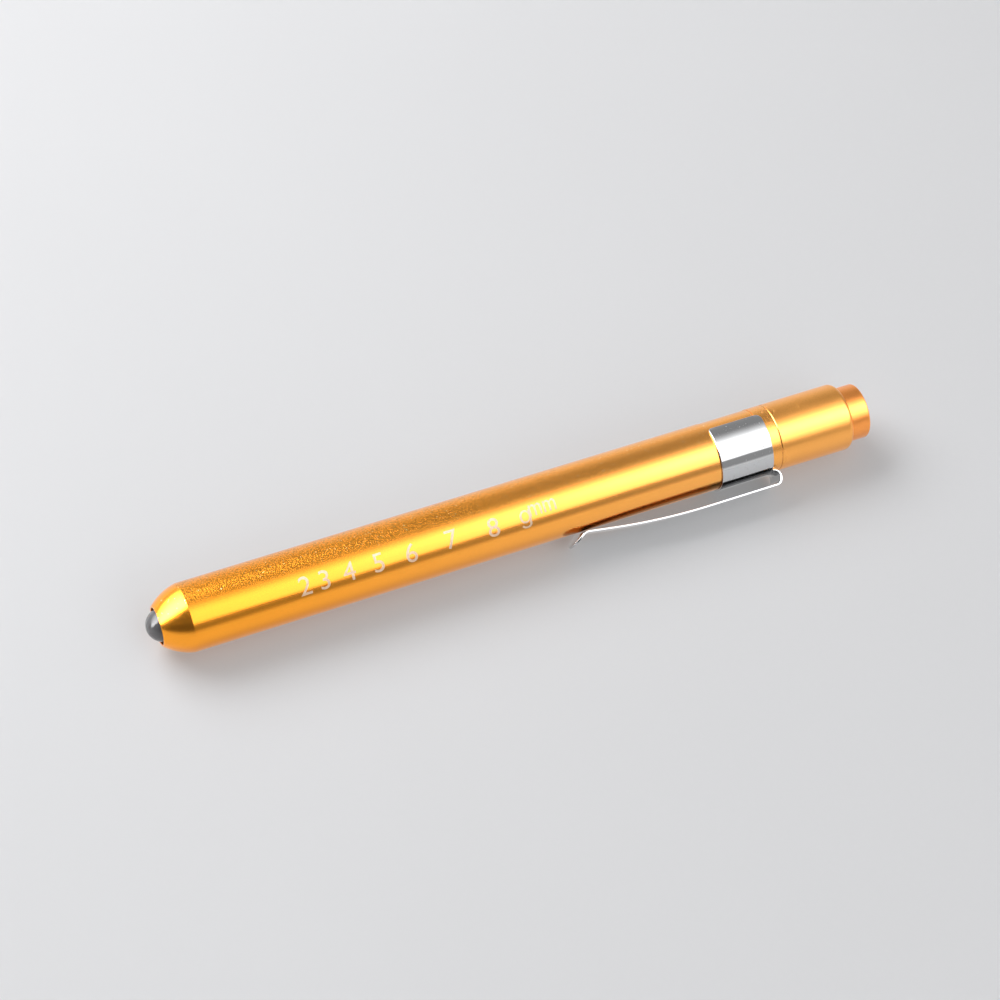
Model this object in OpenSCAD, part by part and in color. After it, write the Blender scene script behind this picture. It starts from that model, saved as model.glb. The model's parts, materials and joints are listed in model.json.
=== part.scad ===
// Pocket penlight: a turned barrel with a domed lamp, two slim cells, a sprung pocket clip
// and a screwed tail cap with a latching push button. It lies along X, the lamp towards -X.
// The origin is on the pen's axis, midway along the bare grip between nose cone and clip tip.
// Places along the pen end in _s and are measured from the lamp's rim towards the button.

/* [Barrel] */
// Outside diameter of the barrel and tail cap
barrel_d = 12.5; // [12.2:0.1:13.4]
// Length of the barrel behind the cells, up to the tail cap seam
tail_room = 16.05; // [15.8:0.05:18]
// Diameter of the bore that holds the cells
bore_d = 10.9; // [10.8:0.05:11.1]
// Length of the nose cone
nose_len = 5.1; // [4.6:0.1:5.8]
// Outside diameter of the flat rim round the lamp
rim_d = 7.3; // [7.1:0.1:7.8]
// Diameter of the lamp hole in the rim
hole_d = 6.7; // [6.4:0.1:6.9]
// Height of the nose curve over its straight chord
nose_crown_h = 0.42; // [0.2:0.02:0.6]
// Length of the chamfers on both sides of the tail cap seam
seam_chamfer_len = 0.26; // [0.2:0.01:0.4]
// Depth of the seam's chamfers
seam_chamfer_depth = 0.08; // [0.04:0.01:0.2]
// Depth of the seat turned for the clip band
seat_depth = 0.08; // [0.05:0.01:0.12]

/* [Lamp] */
// Radius of the clear dome
dome_r = 3; // [2.8:0.05:3.1]
// How far the dome stands out of the rim
dome_reach = 2; // [1.6:0.1:2.4]
// Diameter of the lens flange
flange_d = 8.4; // [8:0.1:8.6]
// Thickness of the lens flange
flange_t = 1; // [0.9:0.1:1.1]
// Depth of the rubber seal in front of the flange
seal_t = 0.6; // [0.5:0.05:0.7]
// Wall of the nose in front of the seal
nose_wall = 2; // [1.9:0.1:2.1]
// Width of the square light chip
chip_w = 2.4; // [2:0.1:2.5]
// Height of the light chip over its board
chip_t = 0.65; // [0.5:0.05:0.7]
// Diameter of the lamp board
board_d = 9.8; // [9.6:0.1:9.9]
// Thickness of the lamp board
board_t = 1; // [0.8:0.1:1.2]
// Length of the lamp holder behind its front boss
holder_len = 8; // [7:0.1:9]
// Diameter of the pin that feeds the board
pin_d = 2; // [1.6:0.1:2.2]

/* [Cells] */
// Length of one slim cell over its terminals
cell_len = 44.5; // [44.1:0.1:44.7]
// Diameter of a cell over its film
cell_d = 10.34; // [10.1:0.02:10.4]
// Height of the positive terminal
nub_h = 0.9; // [0.8:0.05:1]
// Diameter of the positive terminal
nub_d = 3.8; // [3.4:0.1:4]
// Thickness of the film round a cell
film_t = 0.1; // [0.08:0.01:0.14]

/* [Pocket clip] */
// Thickness of the spring steel sheet
clip_t = 0.5; // [0.4:0.05:0.55]
// Width of the clip arm
arm_w = 5.6; // [4.6:0.1:6]
// Length of the band along the barrel
band_len = 10.35; // [9:0.05:11]
// Angle of the barrel that the band wraps
band_wrap = 270; // [240:5:285]
// Corner radius of the band ends towards the tail
corner_tail_r = 1.2; // [0.6:0.1:1.6]
// Corner radius of the band ends towards the nose
corner_nose_r = 0.6; // [0.4:0.1:1]
// Distance from the band's rear edge to the tail cap seam
band_inset = 2.05; // [1.9:0.05:2.6]
// Radius of the clip's return bend at mid sheet
bend_r = 1.1; // [1.05:0.01:1.2]
// Length of the flat stretch next to the bend
arm_flat_len = 13; // [10:0.5:15]
// Radius of the arm's long bow
bow_r = 125; // [110:1:140]
// Angle by which the bow turns in towards the barrel
bow_turn = 9.2; // [8.6:0.1:9.6]
// Radius of the touch bend at mid sheet
touch_r = 1.4; // [1:0.1:2]
// Angle of the flared lip to the barrel
lip_angle = 33.5; // [26:0.5:40]
// Length of the flared lip
lip_len = 3.9; // [3.4:0.1:4.4]
// Radius of the lip's round end
lip_end_r = 3.2; // [2.9:0.1:4]

/* [Tail cap] */
// Length of the tail cap that shows
cap_len = 14.9; // [14.6:0.1:16]
// Length of the rounding at the cap's rear edge
cap_edge_len = 1.1; // [0.8:0.1:1.3]
// Diameter of the cap's rear face
cap_face_d = 10.76; // [10.7:0.02:11]
// Height of the cap's edge curve over its chord
cap_edge_crown_h = 0.24; // [0.1:0.02:0.26]
// Length of the threaded neck
neck_len = 7.7; // [7.5:0.1:8]
// Thread lead, the cap's travel in one turn
thread_lead = 0.8; // [0.5:0.05:1]
// Turns that the cap makes from closed to the last thread
thread_turns = 7; // [5:1:8]
// Section diameter of the tail seal
oring_d = 0.6; // [0.5:0.02:0.62]

/* [Button] */
// Diameter of the push button
button_d = 10.24; // [10:0.02:10.3]
// How far the button stands out of the tail cap
button_proud = 3.85; // [3.5:0.05:4.2]
// Full press of the button
press_travel = 2.2; // [2:0.1:2.3]
// Press at which the button latches on
latch_travel = 1.45; // [1.3:0.05:1.5]
// Wall of the button's skirt
button_wall = 0.9; // [0.8:0.05:0.95]
// Thickness of the button's face
button_face_t = 1; // [0.8:0.1:1.2]

/* [Switch] */
// Outside diameter of the switch
switch_d = 8.4; // [8.3:0.05:8.44]
// Diameter of the plunger
plunger_d = 5; // [4.9:0.05:5.1]
// Diameter of the stem that carries the button
stem_d = 2.76; // [2.6:0.02:2.9]
// Length of the latch link between its two ends
link_len = 4.6; // [4.4:0.05:4.7]
// Diameter of the latch link's wire
link_d = 0.4; // [0.36:0.02:0.42]
// Swing of the latch link over a full press
link_swing = 20; // [18:0.5:20.5]
// Wire diameter of the button's return spring
return_wire_d = 0.5; // [0.4:0.02:0.6]
// Wire diameter of the battery spring
battery_wire_d = 0.6; // [0.5:0.02:0.7]

/* [Hidden] */
$fn = 96;
small_fn = 32;

// Clearances and the overrun of every cut
over = 0.4;
run_gap = 0.06;
seat_gap = 0.02;
side_gap = 0.1;
touch_gap = 0.1;

half_turn = 180;

// Colours
gold = [0.96, 0.68, 0.27];
steel = [0.78, 0.79, 0.8];
brass = [0.85, 0.68, 0.35];
clear = [0.45, 0.46, 0.47];
black = [0.12, 0.12, 0.13];
white = [0.9, 0.9, 0.88];
film = [0.2, 0.36, 0.42];
board_green = [0.1, 0.35, 0.22];

// Barrel
barrel_r = barrel_d / 2;
bore_r = bore_d / 2;
flange_pocket_gap = 0.1;
board_pocket_gap = 0.1;

// Lamp stack, from the rim inwards
dome_centre_s = dome_r - dome_reach;
seal_s = nose_wall;
flange_s = seal_s + seal_t;
board_s = flange_s + flange_t;
holder_s = board_s + board_t;
holder_boss_len = 1.4;
bore_s = holder_s + holder_boss_len;
chip_recess_r = 1.9;
chip_recess_gap = 0.15;
chip_glow_d = 1.8;
chip_glow_t = 0.1;
holder_end_s = bore_s + holder_len;
pin_head_d = 3.2;
pin_head_t = 0.5;
nub_recess_gap = 0.4;
holder_core_count = 6;
holder_core_d = 1.7;
holder_core_circle_r = 3.7;
holder_core_depth = 5.5;

// Cells: the front cell's terminal meets the pin, the rear cell's base meets the spring
front_cell_s = holder_end_s - nub_h;
rear_cell_s = front_cell_s + cell_len;
cells_end_s = rear_cell_s + cell_len;
seam_s = cells_end_s + tail_room;
can_r = cell_d / 2 - film_t - seat_gap;
can_rim_s = nub_h + film_t + seat_gap;
terminal_lip = 0.75;
terminal_t = 0.25;
terminal_sunk = 0.3;
base_d = 7.6;
base_t = 0.1;

// Clip
seat_r = barrel_r - seat_depth;
band_in_r = seat_r + seat_gap;
band_out_r = band_in_r + clip_t;
band_end_s = seam_s - band_inset;
band_start_s = band_end_s - band_len;
root_run = 0.2;
split_gap = 0.2;
bend_s = band_end_s + root_run + split_gap;
root_h = barrel_r + seat_gap + clip_t / 2;
bend_h = root_h + bend_r;
arm_h = bend_h + bend_r;
touch_h = barrel_r + touch_gap + clip_t / 2;
bow_start_s = bend_s - arm_flat_len;
bow_end = [arm_h - bow_r * (1 - cos(bow_turn)), bow_start_s - bow_r * sin(bow_turn)];
run_drop = bow_end[0] - touch_h - touch_r * (1 - cos(bow_turn));
touch_start = [bow_end[0] - run_drop, bow_end[1] - run_drop / tan(bow_turn)];
touch_centre = [touch_h + touch_r, touch_start[1] - touch_r * sin(bow_turn)];
lip_start = [touch_centre[0] - touch_r * cos(lip_angle), touch_centre[1] - touch_r * sin(lip_angle)];
lip_tip = [lip_start[0] + lip_len * sin(lip_angle), lip_start[1] - lip_len * cos(lip_angle)];
bow_steps = 12;
touch_steps = 6;

// The pen lies on its band and on the outer edge of the clip arm
arm_out_h = arm_h + clip_t / 2;
lie_angle = acos(band_out_r / norm([arm_out_h, arm_w / 2])) + atan2(arm_w / 2, arm_out_h);
grip_mid_s = (nose_len + lip_tip[1]) / 2;

// Tail cap
cap_end_s = seam_s + cap_len;
neck_s = seam_s - neck_len;
neck_r = bore_r - run_gap;
groove_len = 1;
groove_inset = 0.5;
groove_r = neck_r - oring_d + 0.5 * run_gap;
switch_r = switch_d / 2;
switch_bore_r = switch_r + run_gap;
web_t = 1.4;
well_depth = 6.65;
well_s = cap_end_s - well_depth;
web_s = well_s - web_t;
well_r = button_d / 2 + run_gap;
stem_hole_r = stem_d / 2 + run_gap;
unscrew_travel = thread_lead * thread_turns;

// Button
button_end_s = cap_end_s + button_proud;
button_len = 7.2;
button_edge = 0.45;
button_edge_crown_h = 0.13;
button_boss_d = 4.2;
button_boss_len = 5.4;
stem_in_boss = 4.3;

// Switch, from the tail cap's web towards the cells
housing_end_s = web_s - seat_gap;
stop_gap = 0.3;
plunger_end_s = web_s - stop_gap;
plunger_len = 7.5;
plunger_s = plunger_end_s - plunger_len;
tenon_d = 1.86;
tenon_len = 0.7;
disc_d = 6.2;
disc_t = 0.3;
disc_s = plunger_s - seat_gap - disc_t;
contact_s = disc_s - press_travel - touch_gap;
contact_rise = 0.95;
base_s = contact_s - contact_rise;
switch_base_t = 1.9;
switch_front_s = base_s - switch_base_t;
plate_t = 0.4;
plate_d = 6.4;
plate_recess_t = plate_t + seat_gap;
post_d = 3.8;
post_pocket_d = 2.4;
post_pocket_depth = 1.6;
ring_t = 1;
ring_hole_d = 7;
ground_in_d = 5;
ground_out_d = 6.2;
tab_w = 1.6;
tab_t = 0.3;
chamber_r = disc_d / 2 + 3 * side_gap;
chamber_end_s = disc_s + disc_t + 4 * side_gap;

// Latch: the link's tip runs in a heart-shaped groove in the plunger's flat
cam_flat_h = 1.2;
cam_depth = 0.6;
cam_half_w = link_d / 2 + side_gap;
link_h = 1.9;
link_pivot_inset = 1.3;
link_pivot_s = plunger_end_s - link_pivot_inset;
link_tip_s = link_pivot_s - link_len;
tip_reach = link_h - cam_flat_h + cam_depth - 1.5 * side_gap;
cover_h = 3.2;
cover_t = 0.4;
cover_half_w = 2.05;
slot_half_w = 1.85;
slot_margin = 0.65;
cam_side = link_len * sin(link_swing);
cam_rise = press_travel + link_len * (1 - cos(link_swing));
cam_start = [0, 0];
cam_notch = [0, latch_travel];
cam_left = [-cam_side, cam_rise];
cam_right = [cam_side, cam_rise];

// Springs
spring_sides = 6;
curl_rings = 8;
corner_rings = 3;
battery_curls = 5;
battery_big_r = 2.85;
battery_small_r = 2.2;
return_curls = 6;
return_r = 3.2;
return_floor_s = well_s + seat_gap;
return_top_s = button_end_s - button_face_t - seat_gap;
battery_floor_s = cells_end_s + seat_gap;
battery_top_s = switch_front_s + seat_gap;

function arc_radius(chord, bulge) = chord * chord / (8 * bulge) + bulge / 2;

// Points of an arc about a centre, in the plane of height h and place s
function arc_points(centre, r, from, to, steps) =
    [for (i = [0 : steps]) let (a = from + (to - from) * i / steps)
        [centre[0] + r * cos(a), centre[1] + r * sin(a)]];

// One side of the arm, d away from mid sheet: flat, long bow, touch bend and lip
function arm_side(d) = concat(
    [[arm_h + d, bend_s]],
    arc_points([arm_h - bow_r, bow_start_s], bow_r + d, 0, -bow_turn, bow_steps),
    arc_points(touch_centre, touch_r - d, 180 - bow_turn, 180 + lip_angle, touch_steps),
    [[lip_tip[0] + d * cos(lip_angle), lip_tip[1] + d * sin(lip_angle)]]);

function reversed(list) = [for (i = [len(list) - 1 : -1 : 0]) list[i]];

// Tube stations are [turn angle, radius, height, rise angle], with upright legs at both ends
function spring_stations(foot, top, foot_r, top_r, curls, wire) =
    let (turn = curls * 360, climb = top - foot - 4 * wire)
    concat(
        [[0, foot_r, foot, 90]],
        [for (i = [0 : corner_rings]) let (a = 90 * i / corner_rings)
            [wire / foot_r * (1 - cos(a)) * 180 / PI, foot_r, foot + wire + wire * sin(a), 90 - a]],
        [for (i = [1 : curls * curl_rings - 1]) let (f = i / (curls * curl_rings), lead = wire / foot_r * 180 / PI)
            [lead + (turn - 2 * lead) * f, foot_r + (top_r - foot_r) * f, foot + 2 * wire + climb * f,
                atan2(climb, turn / 180 * PI * (foot_r + top_r) / 2)]],
        [for (i = [0 : corner_rings]) let (a = 90 * i / corner_rings)
            [turn - wire / top_r * (1 - sin(a)) * 180 / PI, top_r, top - wire - wire * cos(a), a]],
        [[turn, top_r, top, 90]]);

function station_centre(p) = [p[1] * cos(p[0]), p[1] * sin(p[0]), p[2]];

function station_ring(p, wire) =
    let (out = [cos(p[0]), sin(p[0]), 0],
        side = [sin(p[0]) * sin(p[3]), -cos(p[0]) * sin(p[3]), cos(p[3])])
    [for (k = [0 : spring_sides - 1]) let (a = 360 * k / spring_sides)
        station_centre(p) + wire / 2 * (cos(a) * out + sin(a) * side)];

// Least gap between neighbouring turns, measured on the stations
function least_gap(list, wire) =
    min([for (i = [0 : len(list) - 1]) for (j = [i + 6 : 1 : len(list) - 1])
        norm(station_centre(list[i]) - station_centre(list[j]))]) - wire;

module place_pen() {
    translate([-grip_mid_s, 0, 0]) rotate([-lie_angle, 0, 0]) rotate([0, 90, 0]) children();
}

// The switch is built with its latch upwards as the pen lies
module place_switch() {
    translate([-grip_mid_s, 0, 0]) rotate([half_turn, 0, 0]) rotate([0, 90, 0]) children();
}

module rod(r, from_s, to_s) {
    translate([0, 0, from_s]) cylinder(r = r, h = to_s - from_s);
}

module tube(out_r, in_r, from_s, to_s) {
    difference() {
        rod(out_r, from_s, to_s);
        rod(in_r, from_s - over, to_s + over);
    }
}

// A solid of revolution whose side bulges between two radii
module bulged_rod(r1, s1, r2, s2, bulge) {
    chord = norm([r2 - r1, s2 - s1]);
    radius = arc_radius(chord, bulge);
    out = [s2 - s1, r1 - r2] / chord;
    centre = [(r1 + r2) / 2, (s1 + s2) / 2] - out * (radius - bulge);
    rotate_extrude() union() {
        intersection() {
            translate(centre) circle(r = radius);
            translate([0, s1]) square([max(r1, r2), s2 - s1]);
        }
        translate([0, s1]) square([min(r1, r2), s2 - s1]);
    }
}

module spring(foot, top, foot_r, top_r, curls, wire) {
    stations = spring_stations(foot, top, foot_r, top_r, curls, wire);
    last = len(stations) - 1;
    walls = [for (i = [0 : last - 1]) for (k = [0 : spring_sides - 1])
        let (a = i * spring_sides + k, b = i * spring_sides + (k + 1) % spring_sides)
        each [[a, b, b + spring_sides], [a, b + spring_sides, a + spring_sides]]];
    ends = [[for (k = [spring_sides - 1 : -1 : 0]) k],
        [for (k = [0 : spring_sides - 1]) last * spring_sides + k]];
    polyhedron([for (p = stations) each station_ring(p, wire)], concat(walls, ends));
    echo(least_gap_mm = least_gap(stations, wire));
}

module barrel() {
    color(gold) place_pen() difference() {
        union() {
            bulged_rod(rim_d / 2, 0, barrel_r, nose_len, nose_crown_h);
            rod(barrel_r, nose_len, seam_s - seam_chamfer_len);
            translate([0, 0, seam_s - seam_chamfer_len])
                cylinder(r1 = barrel_r, r2 = barrel_r - seam_chamfer_depth, h = seam_chamfer_len);
        }
        rod(hole_d / 2, -over, seal_s + over);
        rod(flange_d / 2 + flange_pocket_gap, seal_s, board_s + over);
        rod(board_d / 2 + board_pocket_gap, board_s, bore_s + over);
        rod(bore_r, bore_s, seam_s + over);
        tube(barrel_r + over, seat_r, band_start_s - side_gap, band_end_s + side_gap);
    }
}

module lens() {
    color(clear) place_pen() difference() {
        union() {
            rotate_extrude() intersection() {
                translate([0, dome_centre_s]) circle(r = dome_r);
                translate([0, dome_centre_s - dome_r]) square([dome_r, dome_r]);
            }
            rod(dome_r, dome_centre_s, flange_s);
            rod(flange_d / 2, flange_s, board_s);
        }
        rod(chip_recess_r, board_s - chip_t - chip_glow_t - chip_recess_gap, board_s + over);
    }
}

module lens_seal() {
    color(black) place_pen() tube(flange_d / 2, dome_r + side_gap, seal_s, flange_s);
}

module light_chip() {
    color(white) place_pen() union() {
        translate([-chip_w / 2, -chip_w / 2, board_s - chip_t]) cube([chip_w, chip_w, chip_t]);
        rod(chip_glow_d / 2, board_s - chip_t - chip_glow_t, board_s - chip_t);
    }
}

module lamp_board() {
    color(board_green) place_pen() rod(board_d / 2, board_s, holder_s);
}

module lamp_holder() {
    color(white) place_pen() difference() {
        union() {
            rod(board_d / 2, holder_s, bore_s + over);
            rod(bore_r - run_gap, bore_s, holder_end_s);
        }
        rod(pin_d / 2 + seat_gap, holder_s - over, holder_end_s + over);
        rod(nub_d / 2 + nub_recess_gap, front_cell_s - pin_head_t - seat_gap, holder_end_s + over);
        for (i = [0 : holder_core_count - 1])
            rotate([0, 0, 360 * i / holder_core_count])
            translate([holder_core_circle_r, 0, 0])
                rod(holder_core_d / 2, holder_end_s - holder_core_depth, holder_end_s + over, $fn = small_fn);
    }
}

module lamp_pin() {
    color(brass) place_pen() union() {
        rod(pin_d / 2, holder_s, front_cell_s - pin_head_t);
        rod(pin_head_d / 2, front_cell_s - pin_head_t, front_cell_s);
    }
}

module cell_can(start) {
    color(steel) place_pen() difference() {
        union() {
            rod(can_r, start + can_rim_s, start + cell_len - base_t);
            rod(base_d / 2, start + cell_len - base_t, start + cell_len);
        }
        rod(can_r - terminal_lip, start + can_rim_s - over, start + can_rim_s + terminal_sunk);
    }
}

module cell_terminal(start) {
    color(steel) place_pen() union() {
        rod(nub_d / 2, start, start + can_rim_s + terminal_sunk - terminal_t);
        rod(can_r - terminal_lip - side_gap, start + can_rim_s + terminal_sunk - terminal_t,
            start + can_rim_s + terminal_sunk);
    }
}

module cell_film(start) {
    color(film) place_pen() union() {
        tube(cell_d / 2, cell_d / 2 - film_t, start + nub_h, start + cell_len - base_t);
        tube(cell_d / 2, can_r - terminal_lip, start + nub_h, start + nub_h + film_t);
    }
}

// Cuts one corner of a band end to a radius, at the far or near side along the pen
module corner_cut(r, place, along) {
    translate([band_in_r - over, 0, place]) rotate([90, 0, 90]) linear_extrude(clip_t + 2 * over)
        difference() {
            translate([-over, along > 0 ? -r : -over]) square([r + over, r + over]);
            translate([r, along > 0 ? -r : r]) circle(r = r, $fn = small_fn);
        }
}

module clip_band() {
    color(steel) place_pen() difference() {
        union() {
            rotate([0, 0, -band_wrap / 2]) rotate_extrude(angle = band_wrap)
                translate([band_in_r, band_start_s]) square([clip_t, band_len]);
            difference() {
                hull() {
                    translate([root_h - clip_t / 2, -arm_w / 2, band_end_s + root_run / 2])
                        cube([clip_t, arm_w, root_run / 2]);
                    intersection() {
                        tube(band_out_r - seat_gap, band_in_r, band_end_s - root_run, band_end_s);
                        translate([0, -arm_w / 2, band_end_s - root_run])
                            cube([band_out_r + over, arm_w, root_run]);
                    }
                }
                rod(barrel_r + seat_gap, band_end_s - root_run - over, band_end_s + root_run + over);
            }
        }
        rotate([0, 0, -band_wrap / 2]) corner_cut(corner_tail_r, band_end_s, 1);
        rotate([0, 0, -band_wrap / 2]) corner_cut(corner_nose_r, band_start_s, -1);
        rotate([0, 0, band_wrap / 2]) mirror([0, 1, 0]) corner_cut(corner_tail_r, band_end_s, 1);
        rotate([0, 0, band_wrap / 2]) mirror([0, 1, 0]) corner_cut(corner_nose_r, band_start_s, -1);
    }
}

module clip_arm() {
    color(steel) place_pen() intersection() {
        rotate([90, 0, 0]) union() {
            translate([bend_h, bend_s, 0]) rotate_extrude(angle = half_turn)
                translate([bend_r - clip_t / 2, -arm_w / 2]) square([clip_t, arm_w]);
            linear_extrude(arm_w, center = true)
                polygon(concat(arm_side(clip_t / 2), reversed(arm_side(-clip_t / 2))));
        }
        union() {
            translate([0, 0, lip_tip[1] + lip_end_r]) rotate([0, 90, 0])
                cylinder(r = lip_end_r, h = arm_out_h + bend_r);
            translate([0, -arm_w, lip_tip[1] + lip_end_r])
                cube([arm_out_h + bend_r, 2 * arm_w, bend_s + band_len - lip_tip[1]]);
        }
    }
}

module battery_spring() {
    color(steel) place_pen()
        spring(battery_floor_s, battery_top_s, battery_small_r, battery_big_r, battery_curls, battery_wire_d);
}

module tail_seal() {
    color(black) place_pen() translate([0, 0, seam_s - groove_inset - groove_len / 2])
        rotate_extrude() translate([groove_r + seat_gap + oring_d / 2, 0]) circle(d = oring_d, $fn = small_fn);
}

module tail_cap() {
    color(gold) place_pen() difference() {
        union() {
            rod(neck_r, neck_s, seam_s + over);
            translate([0, 0, seam_s])
                cylinder(r1 = barrel_r - seam_chamfer_depth, r2 = barrel_r, h = seam_chamfer_len);
            rod(barrel_r, seam_s + seam_chamfer_len, cap_end_s - cap_edge_len);
            bulged_rod(barrel_r, cap_end_s - cap_edge_len, cap_face_d / 2, cap_end_s, cap_edge_crown_h);
        }
        tube(neck_r + over, groove_r, seam_s - groove_inset - groove_len, seam_s - groove_inset);
        rod(switch_bore_r, neck_s - over, web_s);
        rod(stem_hole_r, web_s - over, well_s + over);
        rod(well_r, well_s, cap_end_s + over);
    }
}

module switch_housing() {
    color(black) place_switch() difference() {
        rod(switch_r, base_s + seat_gap, housing_end_s);
        rod(chamber_r, base_s - over, chamber_end_s);
        rod(plunger_d / 2 + run_gap, chamber_end_s - over, housing_end_s + over);
        translate([cam_flat_h, -slot_half_w, link_tip_s - slot_margin])
            cube([cover_h - cam_flat_h + over, 2 * slot_half_w, link_len + 2 * slot_margin]);
        translate([cover_h, -cover_half_w - side_gap, link_tip_s - 2 * slot_margin])
            cube([switch_r, 2 * (cover_half_w + side_gap), link_len + 3 * slot_margin]);
        translate([-switch_r - over, -tab_w / 2 - side_gap, base_s - over])
            cube([switch_r, tab_w + 2 * side_gap, over + tab_t + 2 * side_gap]);
    }
}

module switch_base() {
    color(black) place_switch() difference() {
        rod(switch_r, switch_front_s, base_s);
        rod(plate_d / 2 + side_gap, switch_front_s - over, switch_front_s + plate_recess_t);
        rod(post_d / 2 + side_gap, switch_front_s - over, base_s + over);
    }
}

module retaining_ring() {
    color(brass) place_switch()
        tube(switch_r, ring_hole_d / 2, switch_front_s - seat_gap - ring_t, switch_front_s - seat_gap);
}

module contact_plate() {
    color(brass) place_switch() difference() {
        union() {
            rod(plate_d / 2, switch_front_s + seat_gap, switch_front_s + plate_t);
            rod(post_d / 2, switch_front_s + seat_gap, contact_s);
        }
        rod(post_pocket_d / 2, contact_s - post_pocket_depth, contact_s + over);
    }
}

module ground_contact() {
    color(brass) place_switch() union() {
        tube(ground_out_d / 2, ground_in_d / 2, base_s, contact_s);
        intersection() {
            translate([-switch_r - over, -tab_w / 2, base_s])
                cube([switch_r + over - (ground_in_d + ground_out_d) / 4, tab_w, tab_t]);
            rod(switch_r, base_s - over, contact_s);
        }
    }
}

module latch_cover() {
    color(steel) place_switch() difference() {
        translate([cover_h, -cover_half_w, link_tip_s - 2 * slot_margin + side_gap])
            cube([cover_t, 2 * cover_half_w, link_len + 3 * slot_margin - 2 * side_gap]);
        translate([cover_h - over, 0, link_pivot_s]) rotate([0, 90, 0])
            cylinder(r = link_d / 2 + run_gap / 2, h = cover_t + 2 * over, $fn = small_fn);
    }
}

module return_spring() {
    color(steel) place_pen()
        spring(return_floor_s, return_top_s, return_r, return_r, return_curls, return_wire_d);
}

module button() {
    color(gold) place_pen() difference() {
        union() {
            rod(button_d / 2, button_end_s - button_len, button_end_s - button_edge);
            bulged_rod(button_d / 2, button_end_s - button_edge, button_d / 2 - button_edge, button_end_s,
                button_edge_crown_h);
        }
        difference() {
            rod(button_d / 2 - button_wall, button_end_s - button_len - over, button_end_s - button_face_t);
            rod(button_boss_d / 2, button_end_s - button_face_t - button_boss_len, button_end_s);
        }
        rod(stem_d / 2 + seat_gap, button_end_s - button_len - over,
            button_end_s - button_face_t - button_boss_len + stem_in_boss + seat_gap);
    }
}

// A straight run of the cam groove with round ends
module cam_run(from, to) {
    way = to - from;
    translate(from) circle(r = cam_half_w, $fn = small_fn);
    translate(to) circle(r = cam_half_w, $fn = small_fn);
    translate(from) rotate(atan2(way[1], way[0])) translate([0, -cam_half_w])
        square([norm(way), 2 * cam_half_w]);
}

module plunger() {
    color(white) place_switch() difference() {
        union() {
            difference() {
                rod(plunger_d / 2, plunger_s, plunger_end_s);
                translate([cam_flat_h, -plunger_d, plunger_s - over])
                    cube([plunger_d, 2 * plunger_d, plunger_len + 2 * over]);
            }
            rod(stem_d / 2, plunger_end_s - over,
                button_end_s - button_face_t - button_boss_len + stem_in_boss);
            rod(tenon_d / 2, plunger_s - tenon_len, plunger_s + over);
        }
        translate([cam_flat_h - cam_depth, 0, link_tip_s]) rotate([90, 0, 90])
            linear_extrude(cam_depth + over) {
                cam_run(cam_start, cam_left);
                cam_run(cam_start, cam_right);
                cam_run(cam_notch, cam_left);
                cam_run(cam_notch, cam_right);
            }
    }
}

module moving_contact() {
    color(brass) place_switch() tube(disc_d / 2, tenon_d / 2 + seat_gap, disc_s, disc_s + disc_t);
}

module latch_link() {
    color(steel) place_switch() union() {
        translate([link_h, 0, link_tip_s]) cylinder(d = link_d, h = link_len, $fn = small_fn);
        translate([link_h - tip_reach, 0, link_tip_s]) rotate([0, 90, 0])
            cylinder(d = link_d, h = tip_reach + link_d / 2, $fn = small_fn);
        translate([link_h - link_d / 2, 0, link_pivot_s]) rotate([0, 90, 0])
            cylinder(d = link_d, h = cover_h + cover_t - link_h + link_d / 2, $fn = small_fn);
    }
}

barrel();
lens();
lens_seal();
light_chip();
lamp_board();
lamp_holder();
lamp_pin();
cell_can(front_cell_s);  // front_cell_can
cell_terminal(front_cell_s);  // front_cell_terminal
cell_film(front_cell_s);  // front_cell_film
cell_can(rear_cell_s);  // rear_cell_can
cell_terminal(rear_cell_s);  // rear_cell_terminal
cell_film(rear_cell_s);  // rear_cell_film
clip_band();
clip_arm();
battery_spring();
tail_seal();
tail_cap();
switch_housing();
switch_base();
retaining_ring();
contact_plate();
ground_contact();
latch_cover();
return_spring();
button();
plunger();
moving_contact();
latch_link();
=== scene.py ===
import json
import math

import bmesh
import bpy
from mathutils import Matrix, Vector


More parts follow.
